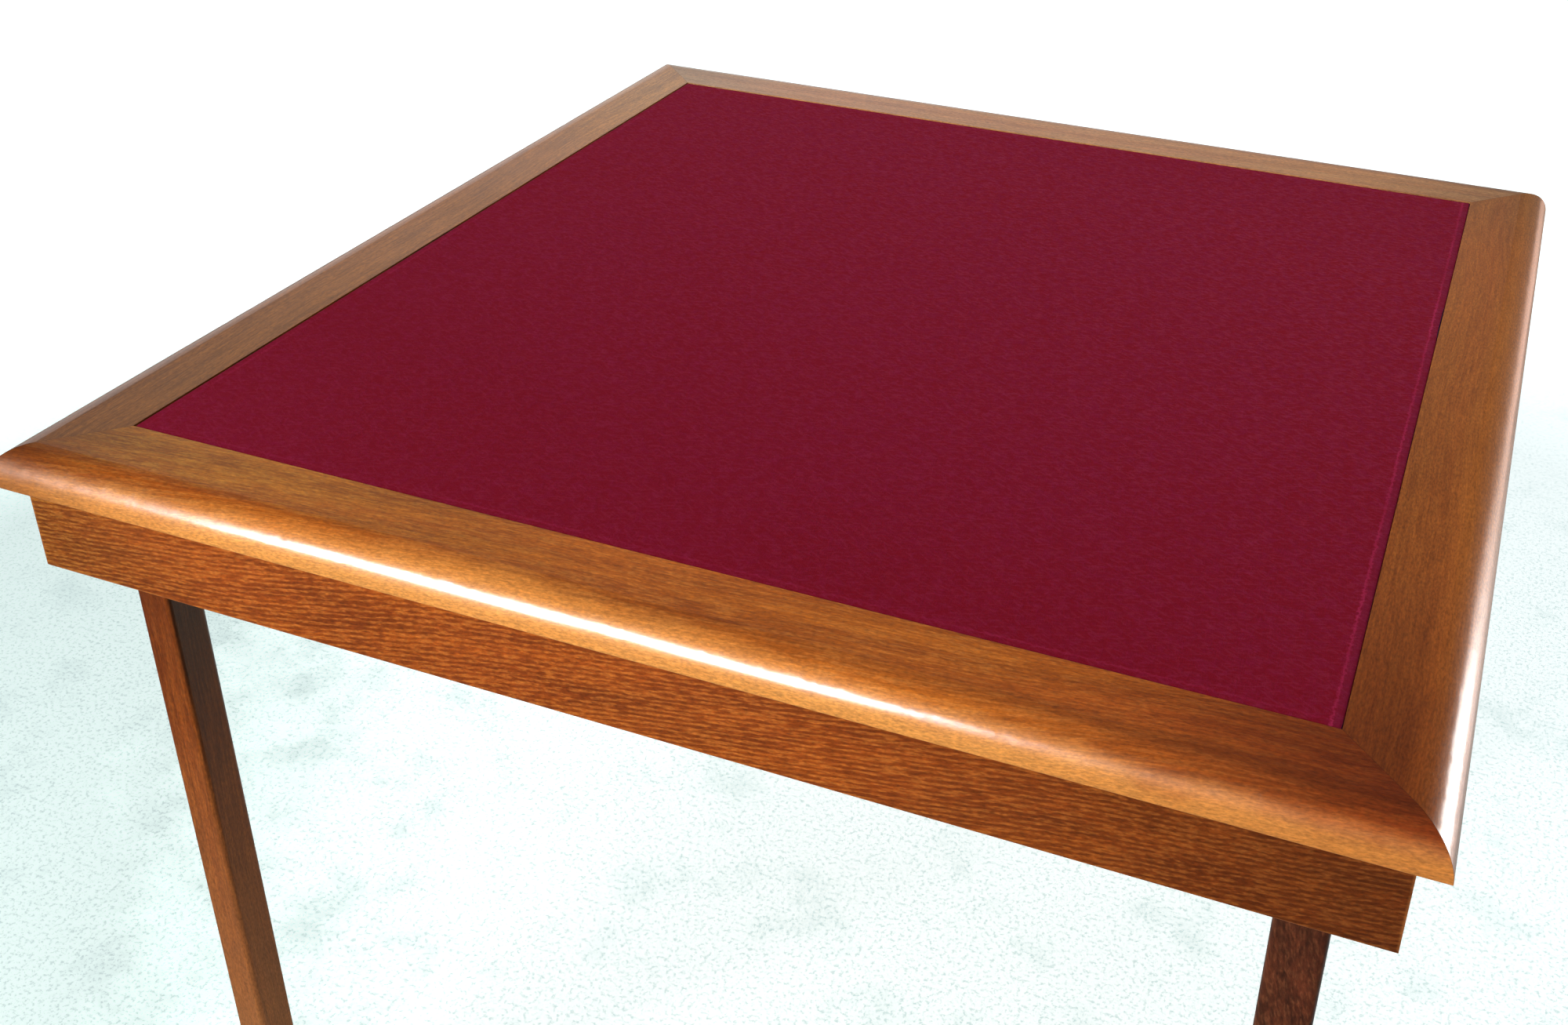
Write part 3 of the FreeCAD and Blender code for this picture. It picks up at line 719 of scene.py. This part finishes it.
# Legs and their stops: a redder stain, grain along the leg, paler towards the foot, with painted shade at the top
# under the apron
legLooks = {
    "shared": {
        "light": srgb(146, 69, 12), "dark": srgb(96, 38, 4), "fleck": srgb(172, 92, 26),
        "fleckAmount": 0.35, "roughness": 0.36, "coatWeight": 0.3, "coatRoughness": 0.14, "footAmount": 0.5,
        # Painted shade at the top of the legs, under the apron
        "ends": [(0.44, 0.70, srgb(155, 131, 115))],
    },
    "front_left": {
        "shift": (31.2, 0.4, 0.9),
        # Painted shade at the top of the inner face under the apron, painted light near its foot
        "sideLightAndShadeTints": [(0.38, 0.56, srgb(172, 184, 206)), (0.40, 0.22, srgb(286, 288, 296))],
        # Deeper painted shade at the top of this leg
        "ends": [(0.44, 0.70, srgb(155, 131, 115)), (0.5, 0.64, srgb(245, 232, 222))],
    },
    "front_right": {
        "shift": (34.5, 1.2, 2.2), "slope": 14.0, "light": srgb(110, 51, 28), "dark": srgb(63, 28, 17),
        "fleck": srgb(150, 88, 54), "streakAmount": 0.8, "bandAmount": 1.0,
    },
    "back_right": {"shift": (37.9, 2.6, 0.1)},
    "back_left": {"shift": (41.4, 0.7, 1.6)},
}


def finishLegs(values):
    for corner in cornerNames:
        looks = dict(values["shared"], **values[corner])
        shift = looks.pop("shift")
        beech = lacqueredBeech(corner + "LegBeech", "Z", shift, *boxOf(corner + "_leg"), **looks)
        setMaterial(corner + "_leg", beech)
        looks["footAmount"] = 0.0
        beech = lacqueredBeech(corner + "StopBeech", "X", shift, *boxOf(corner + "_stop_block"), **looks)
        setMaterial(corner + "_stop_block", beech)


finishLegs(legLooks)
print("lacquered wood finished")


# Bare wood under the table
bareLooks = {
    "roughness": 0.6,
    "smear": 0.06,
    "scratch": 0.05,
    "grimeAmount": 0.22,
    "bumpStrength": 0.5,
    "grainDepth": 0.0002,
    "beechFigure": {"Fleck Amount": 0.45, "Streak Amount": 0.5, "Band Amount": 0.6},
    "panelFigure": {"Fleck Amount": 0.25, "Streak Amount": 0.35, "Band Amount": 1.0},
    "batten": {"Light": srgb(214, 176, 132), "Dark": srgb(176, 132, 90), "Fleck": srgb(150, 104, 70)},
    "plywood": {"Light": srgb(214, 184, 144), "Dark": srgb(178, 142, 100), "Fleck": srgb(190, 156, 116)},
    "block": {"Light": srgb(206, 166, 122), "Dark": srgb(160, 116, 76), "Fleck": srgb(140, 96, 62)},
}


def bareWood(piece, name, axis, shift, wood, figureName="beechFigure"):
    values = bareLooks
    material, tree, surface, place = newMaterial(name)
    grain = alongGrain(tree, place, axis, shift)
    figure = useGroup(tree, woodFigure, dict(values[wood], **values[figureName], Vector=grain))
    touched = useGroup(tree, handling, {
        "Vector": grain, "Base": values["roughness"], "Smear": values["smear"], "Scratch": values["scratch"],
    })
    grime = times(tree, touched["Haze"], values["grimeAmount"])
    color = blendColor(tree, grime, figure["Color"], values[wood]["Dark"])
    tree.links.new(color, surface.inputs["Base Color"])
    tree.links.new(touched["Roughness"], surface.inputs["Roughness"])
    addBump(tree, surface, figure["Height"], values["bumpStrength"], values["grainDepth"])
    setMaterial(piece, material)


bareWood("left_batten", "leftBattenBeech", "Y", (51.0, 0.3, 0.5), "batten")
bareWood("right_batten", "rightBattenBeech", "Y", (54.0, 1.4, 0.2), "batten")
bareWood("top_panel", "panelPlywood", "X", (61.0, 0.2, 0.9), "plywood", "panelFigure")
bareWood("mitre_splines", "splinePlywood", "X", (63.0, 0.8, 0.1), "plywood")
bareWood("apron_dowels", "dowelBeech", "Z", (65.0, 0.1, 0.7), "block")
bareWood("glue_blocks", "blockBeech", "X", (67.0, 0.6, 0.3), "block")
print("bare wood finished")


# Metal and nylon fittings
fittingLooks = {
    "smear": 0.1,
    "scratch": 0.12,
    "spots": (420.0, 3.0, 0.7),
    "spotRange": (0.48, 0.72),
    "spotAmount": 0.7,
    "hazeAmount": 0.2,
    "bumpStrength": 0.2,
    "bumpDepth": 0.00005,
    "stuffs": {
        "zinc": {"color": srgb(196, 198, 202), "stain": srgb(128, 126, 122), "roughness": 0.3, "metallic": 1.0},
        "spring": {"color": srgb(92, 96, 108), "stain": srgb(58, 52, 50), "roughness": 0.34, "metallic": 1.0},
        "brass": {"color": srgb(214, 172, 92), "stain": srgb(140, 98, 48), "roughness": 0.3, "metallic": 1.0},
        "nylon": {"color": srgb(58, 42, 32), "stain": srgb(84, 70, 58), "roughness": 0.48, "metallic": 0.0},
    },
    "zincNodes": [
        "panel_screws", "batten_screws", "apron_screws", "plate_screws", "catch_screws", "stop_screws",
        "pivot_spacers", "pivot_washers", "pivot_nuts",
    ],
}


def fittingMaterial(name, values, stuff):
    material, tree, surface, place = newMaterial(name)
    touched = useGroup(tree, handling, {
        "Vector": place, "Base": stuff["roughness"], "Smear": values["smear"], "Scratch": values["scratch"],
    })
    spots = noiseAt(tree, place, *values["spots"])
    dull = times(tree, spread(tree, spots, *values["spotRange"]), values["spotAmount"])
    dull = plus(tree, dull, times(tree, touched["Haze"], values["hazeAmount"]), clamp=True)
    tree.links.new(blendColor(tree, dull, stuff["color"], stuff["stain"]), surface.inputs["Base Color"])
    tree.links.new(touched["Roughness"], surface.inputs["Roughness"])
    setInputs(surface, {"Metallic": stuff["metallic"]})
    addBump(tree, surface, spots, values["bumpStrength"], values["bumpDepth"])
    return material


def finishFittings(values):
    made = {name: fittingMaterial(name + "Fitting", values, stuff) for name, stuff in values["stuffs"].items()}
    for name in values["zincNodes"]:
        setMaterial(name, made["zinc"])
    for corner in cornerNames:
        for end in ("_pivot_plate", "_pivot_bolt", "_glide_screw"):
            setMaterial(corner + end, made["zinc"])
        setMaterial(corner + "_leg_catch", made["spring"])
        setMaterial(corner + "_leg_bush", made["brass"])
        setMaterial(corner + "_glide", made["nylon"])


finishFittings(fittingLooks)
print("fittings finished")


# Baize: one sheet glued over the panel and rolled down its edges
baizeLooks = {
    "thickness": 0.0011,
    "edgeSteps": [0.0, 0.0001, 0.0003, 0.0006, 0.0010, 0.0015],
    "rollWidth": 0.0020,  # how far in from its edge the cloth starts to fall
    "rollDrop": 0.0009,
    "cornerDrop": 1.6,  # the most that the corners fall, as a share of that
    "flatStart": 0.0045,
    "cellSize": 0.0035,
    "swell": 0.00012,  # slow rise and fall of the glued cloth
    "swellScale": 5,
    "swellLevel": 3.1,
    "ruckShare": 0.4,
    "ruckScale": 23,
    "ruckLevel": 8.4,
    "base": srgb(118, 14, 28),
    # Colour of the painted sheen on the far and right sides of the cloth
    "farSheen": srgb(135, 21, 34),
    "bloom": srgb(124, 26, 66),
    "bloomAmount": 0.75,
    "deep": srgb(88, 8, 24),
    "strand": srgb(152, 50, 76),
    "strandAmount": 0.6,
    # Painted shadow in the gap along the cloth's edge
    "gapShadow": srgb(24, 34, 66),
    "ridge": srgb(190, 52, 96),
    "ridgeAmount": 0.5,
    "pressed": srgb(92, 34, 62),
    "pressedAmount": 0.2,
    "edge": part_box("baize")[1].x,
    "sheen": 0.05,
    "sheenRoughness": 0.5,
    "sheenTint": srgb(190, 70, 120),
    "specular": 0.08,
    "specularTint": srgb(220, 90, 120),
    "roughness": 0.92,
    "bumpStrength": 0.5,
    "napDepth": 0.00035,
}


def baizeMaterial(values):
    material, tree, surface, place = newMaterial("burgundyBaize")
    nap = useGroup(tree, feltNap, {
        "Vector": place, "Base": values["base"], "Bloom": values["bloom"], "Deep": values["deep"],
        "Strand": values["strand"], "Far Sheen": values["farSheen"], "Bloom Amount": values["bloomAmount"],
        "Strand Amount": values["strandAmount"],
    })
    border = useGroup(tree, clothBorder, {"Vector": place, "Edge": values["edge"]})
    pressed = times(tree, border["Pressed"], values["pressedAmount"])
    color = blendColor(tree, pressed, nap["Color"], values["pressed"])
    color = blendColor(tree, times(tree, border["Ridge"], values["ridgeAmount"]), color, values["ridge"])
    # Painted shadow of the gap along the cloth's edge
    color = blendColor(tree, border["Gap Shadow"], color, values["gapShadow"])
    tree.links.new(color, surface.inputs["Base Color"])
    setInputs(surface, {
        "Roughness": values["roughness"], "Sheen Weight": values["sheen"],
        "Sheen Roughness": values["sheenRoughness"], "Sheen Tint": values["sheenTint"],
        "Specular IOR Level": values["specular"], "Specular Tint": values["specularTint"],
    })
    addBump(tree, surface, nap["Height"], values["bumpStrength"], values["napDepth"])
    return material


def rollFall(distance, values):
    # Quarter ellipse from the flat of the cloth down to its turned edge
    share = min(max((values["rollWidth"] - distance) / values["rollWidth"], 0), 1)
    return values["rollDrop"] * (1 - math.sqrt(1 - share * share))


def swellAt(x, y, scale, level):
    return noise.noise(Vector((x * scale, y * scale, level)))


def makeBaize(values):
    low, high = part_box("baize")
    half = high[0]
    top = high[2] - values["swell"]
    edge = values["edgeSteps"] + [values["rollWidth"]]
    inner = half - values["flatStart"]
    cells = int(2 * inner / values["cellSize"])
    line = [-half + step for step in edge]
    line += [-inner + 2 * inner * step / cells for step in range(cells + 1)]
    line += [half - step for step in reversed(edge)]
    mesh = bmesh.new()
    grid = []
    for y in line:
        row = []
        for x in line:
            fall = rollFall(half - abs(x), values) + rollFall(half - abs(y), values)
            fall = min(fall, values["rollDrop"] * values["cornerDrop"])
            swell = swellAt(x, y, values["swellScale"], values["swellLevel"])
            swell += values["ruckShare"] * swellAt(x, y, values["ruckScale"], values["ruckLevel"])
            row.append(mesh.verts.new((x, y, top - fall + swell * values["swell"])))
        grid.append(row)
    last = len(line) - 1
    for j in range(last):
        for i in range(last):
            mesh.faces.new((grid[j][i], grid[j][i + 1], grid[j + 1][i + 1], grid[j + 1][i]))
    rim = [grid[0][i] for i in range(last)] + [grid[j][last] for j in range(last)]
    rim += [grid[last][i] for i in range(last, 0, -1)] + [grid[j][0] for j in range(last, 0, -1)]
    hem = [mesh.verts.new((point.co.x, point.co.y, low[2])) for point in rim]
    for index, point in enumerate(rim):
        after = (index + 1) % len(rim)
        mesh.faces.new((rim[after], point, hem[index], hem[after]))
    data = bpy.data.meshes.new("baizeCloth")
    mesh.to_mesh(data)
    mesh.free()
    data.shade_smooth()
    cloth = bpy.data.objects.new("baizeCloth", data)
    scene.collection.objects.link(cloth)
    thicken = cloth.modifiers.new("thickness", "SOLIDIFY")
    thicken.thickness = values["thickness"]
    thicken.offset = -1
    data.materials.append(baizeMaterial(values))
    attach(cloth, "top")
    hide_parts("baize")


makeBaize(baizeLooks)
print("baize laid")


# Floor: a pale carpet, with painted shade to the left of the table, and whiter further out
floorLooks = {
    "size": 14.0,
    "color": srgb(236, 245, 244),
    "shade": srgb(192, 212, 210),
    # Painted shade to the left of the table, as a darker, greener carpet colour
    "left": srgb(228, 245, 241),
    "mottle": (9.0, 8.0, 0.7),
    "mottleRange": (0.52, 0.7, 0.0, 0.5),
    "speckle": (240.0, 3.0, 0.75),
    "speckleRange": (0.52, 0.62, 0.0, 0.9),
    "shadeFade": (1.0, 1.9, 1.0, 0.2),
    "leftLean": 0.6,  # how far the border of the painted shade on the left runs off to the left for each metre back
    "leftRagged": (0.3, 0.7, 0.12, -0.12),
    "leftRange": (-0.4, -0.8),
    "leftFade": (1.4, 1.8, 1.0, 0.0),
    "seen": 0.57,  # how much of its own white the floor shows the camera, so that its shadow stays soft
    # Less of its own white to the left, for the painted shade there
    "seenLeft": 0.12,
    "seenLeftRange": (-0.45, -0.85),
    "seenFar": 0.95,
    "seenFarRange": (1.35, 1.8),
    "glossRange": (-0.3, 0.6, 0.10, 0.6),  # what the lacquer mirrors of it, from front to back
    "glossFade": (0.7, 2.1, 1.0, 0.25),
}


def addFloor(values):
    half = values["size"] / 2
    mesh = bmesh.new()
    mesh.faces.new([mesh.verts.new((x * half, y * half, 0)) for x, y in ((-1, -1), (1, -1), (1, 1), (-1, 1))])
    data = bpy.data.meshes.new("studioFloor")
    mesh.to_mesh(data)
    mesh.free()
    floor = bpy.data.objects.new("studioFloor", data)
    scene.collection.objects.link(floor)
    material, tree, surface, place = newMaterial("floorPale")
    mottle = noiseAt(tree, place, *values["mottle"])
    speckle = noiseAt(tree, place, *values["speckle"])
    distance = put(tree, "ShaderNodeVectorMath", {0: place}, operation="LENGTH").outputs["Value"]
    shade = spread(tree, mottle, *values["mottleRange"])
    shade = plus(tree, shade, spread(tree, speckle, *values["speckleRange"]), clamp=True)
    shade = times(tree, shade, spread(tree, distance, *values["shadeFade"]))
    parts = partsOf(tree, place)
    leftward = plus(tree, parts[0], times(tree, parts[1], values["leftLean"]))
    leftward = plus(tree, leftward, spread(tree, mottle, *values["leftRagged"]))
    # Painted shade to the left of the table
    leftShade = times(tree, spread(tree, leftward, *values["leftRange"]), spread(tree, distance, *values["leftFade"]))
    pale = blendColor(tree, leftShade, values["color"], values["left"])
    carpet = blendColor(tree, shade, pale, values["shade"])
    tree.links.new(carpet, surface.inputs["Base Color"])
    setInputs(surface, {"Roughness": 1.0, "Specular IOR Level": 0.0})
    path = put(tree, "ShaderNodeLightPath").outputs
    # The floor shows less white in the painted shade to the left
    near = spread(tree, leftward, *values["seenLeftRange"], values["seen"], values["seenLeft"])
    white = spread(tree, distance, *values["seenFarRange"], near, values["seenFar"])
    strength = times(tree, path["Is Camera Ray"], white)
    glow = put(tree, "ShaderNodeEmission", {"Color": carpet, "Strength": strength})
    seen = put(tree, "ShaderNodeAddShader", {0: surface.outputs[0], 1: glow.outputs[0]})
    shine = spread(tree, parts[1], *values["glossRange"])
    shine = times(tree, shine, spread(tree, parts[1], *values["glossFade"]))
    mirrored = put(tree, "ShaderNodeEmission", {"Color": values["color"], "Strength": shine})
    mixed = put(tree, "ShaderNodeMixShader", {
        0: path["Is Glossy Ray"], 1: seen.outputs[0], 2: mirrored.outputs[0],
    })
    # Seen from below, the floor is clear, so that the underside of the table shows
    under = put(tree, "ShaderNodeNewGeometry").outputs["Backfacing"]
    clear = put(tree, "ShaderNodeBsdfTransparent")
    oneSided = put(tree, "ShaderNodeMixShader", {0: under, 1: mixed.outputs[0], 2: clear.outputs[0]})
    output = next(item for item in tree.nodes if item.type == "OUTPUT_MATERIAL")
    tree.links.new(oneSided.outputs[0], output.inputs["Surface"])
    data.materials.append(material)


# World: soft light, white to the camera, and bright low behind the table for what the lacquer mirrors
worldLooks = {
    "light": srgb(240, 244, 248),
    "lightRange": (-0.2, 0.7, 0.46, 0.21),  # from left to right
    "mirrored": srgb(246, 246, 250),
    "lowRange": (0.29, 0.48, 1.0, 0.0),
    "behindRange": (0.0, 0.5),
    "leftRange": (-0.35, 0.05, 1.0, 0.12),
    "glossRange": (0.0, 1.0, 0.05, 0.95),
}


def addWorld(values):
    world = bpy.data.worlds.new("studioWorld")
    scene.world = world
    world.use_nodes = True
    tree = world.node_tree
    tree.nodes.clear()
    output = tree.nodes.new("ShaderNodeOutputWorld")
    parts = partsOf(tree, put(tree, "ShaderNodeTexCoord").outputs["Generated"])
    low = spread(tree, parts[2], *values["lowRange"])
    behind = spread(tree, parts[1], *values["behindRange"])
    amount = times(tree, times(tree, low, behind), spread(tree, parts[0], *values["leftRange"]))
    shine = spread(tree, amount, *values["glossRange"])
    shaded = spread(tree, parts[0], *values["lightRange"])
    light = put(tree, "ShaderNodeBackground", {"Color": values["light"], "Strength": shaded})
    mirrored = put(tree, "ShaderNodeBackground", {"Color": values["mirrored"], "Strength": shine})
    seen = put(tree, "ShaderNodeBackground", {"Color": (1, 1, 1, 1), "Strength": 1.0})
    path = put(tree, "ShaderNodeLightPath").outputs
    mixed = put(tree, "ShaderNodeMixShader", {
        0: path["Is Glossy Ray"], 1: light.outputs[0], 2: mirrored.outputs[0],
    })
    mixed = put(tree, "ShaderNodeMixShader", {0: path["Is Camera Ray"], 1: mixed.outputs[0], 2: seen.outputs[0]})
    tree.links.new(mixed.outputs[0], output.inputs["Surface"])


# Lamps: the window, which lights the table and shows in the lacquer with its bright middle, the garden door,
# which only shows there, and a plain soft light overhead
lampLooks = {
    "window": {"place": (-1.33, -2.90, 1.90), "aim": (0.0, -0.40, 0.67), "size": (1.50, 1.05), "power": 98},
    "windowCore": {
        "place": (-1.35, -2.86, 1.87), "aim": (0.0, -0.40, 0.67), "size": (1.55, 0.97), "power": 304,
        "color": (0.67, 0.72, 1.0), "diffuse": False,
    },
    "garden": {
        "place": (1.90, 1.31, 0.70), "aim": (0.43, -0.33, 0.68), "size": (0.58, 0.97), "power": 28,
        "diffuse": False,
    },
    "gardenGlow": {
        "place": (1.135, 0.67, 0.51), "aim": (0.43, -0.3, 0.68), "size": (0.42, 0.86), "power": 1.7,
        "color": (1.0, 0.76, 0.7), "diffuse": False,
    },
    "gardenFar": {
        "place": (1.22, 2.0, 0.35), "aim": (0.44, 0.2, 0.68), "size": (0.62, 0.48), "power": 1.6,
        "color": (1.0, 0.64, 0.52), "diffuse": False,
    },
    "overhead": {
        "place": (0.0, 0.3, 3.2), "aim": (0.0, 0.0, 0.6), "size": (2.6, 2.6), "power": 24, "gloss": False,
    },
}


def addLamp(name, values):
    data = bpy.data.lights.new(name, "AREA")
    data.shape = "RECTANGLE"
    data.size, data.size_y = values["size"]
    data.energy = values["power"]
    data.color = values.get("color", (1.0, 1.0, 1.0))
    lamp = bpy.data.objects.new(name, data)
    place = Vector(values["place"])
    away = place - Vector(values["aim"])
    lamp.matrix_world = Matrix.Translation(place) @ away.to_track_quat("Z", "Y").to_matrix().to_4x4()
    scene.collection.objects.link(lamp)
    lamp.visible_camera = False
    lamp.visible_diffuse = values.get("diffuse", True)
    lamp.visible_glossy = values.get("gloss", True)


addFloor(floorLooks)
addWorld(worldLooks)
for lampName, lampValues in lampLooks.items():
    addLamp(lampName + "Lamp", lampValues)
scene.view_settings.view_transform = "Standard"
print("stage lit")
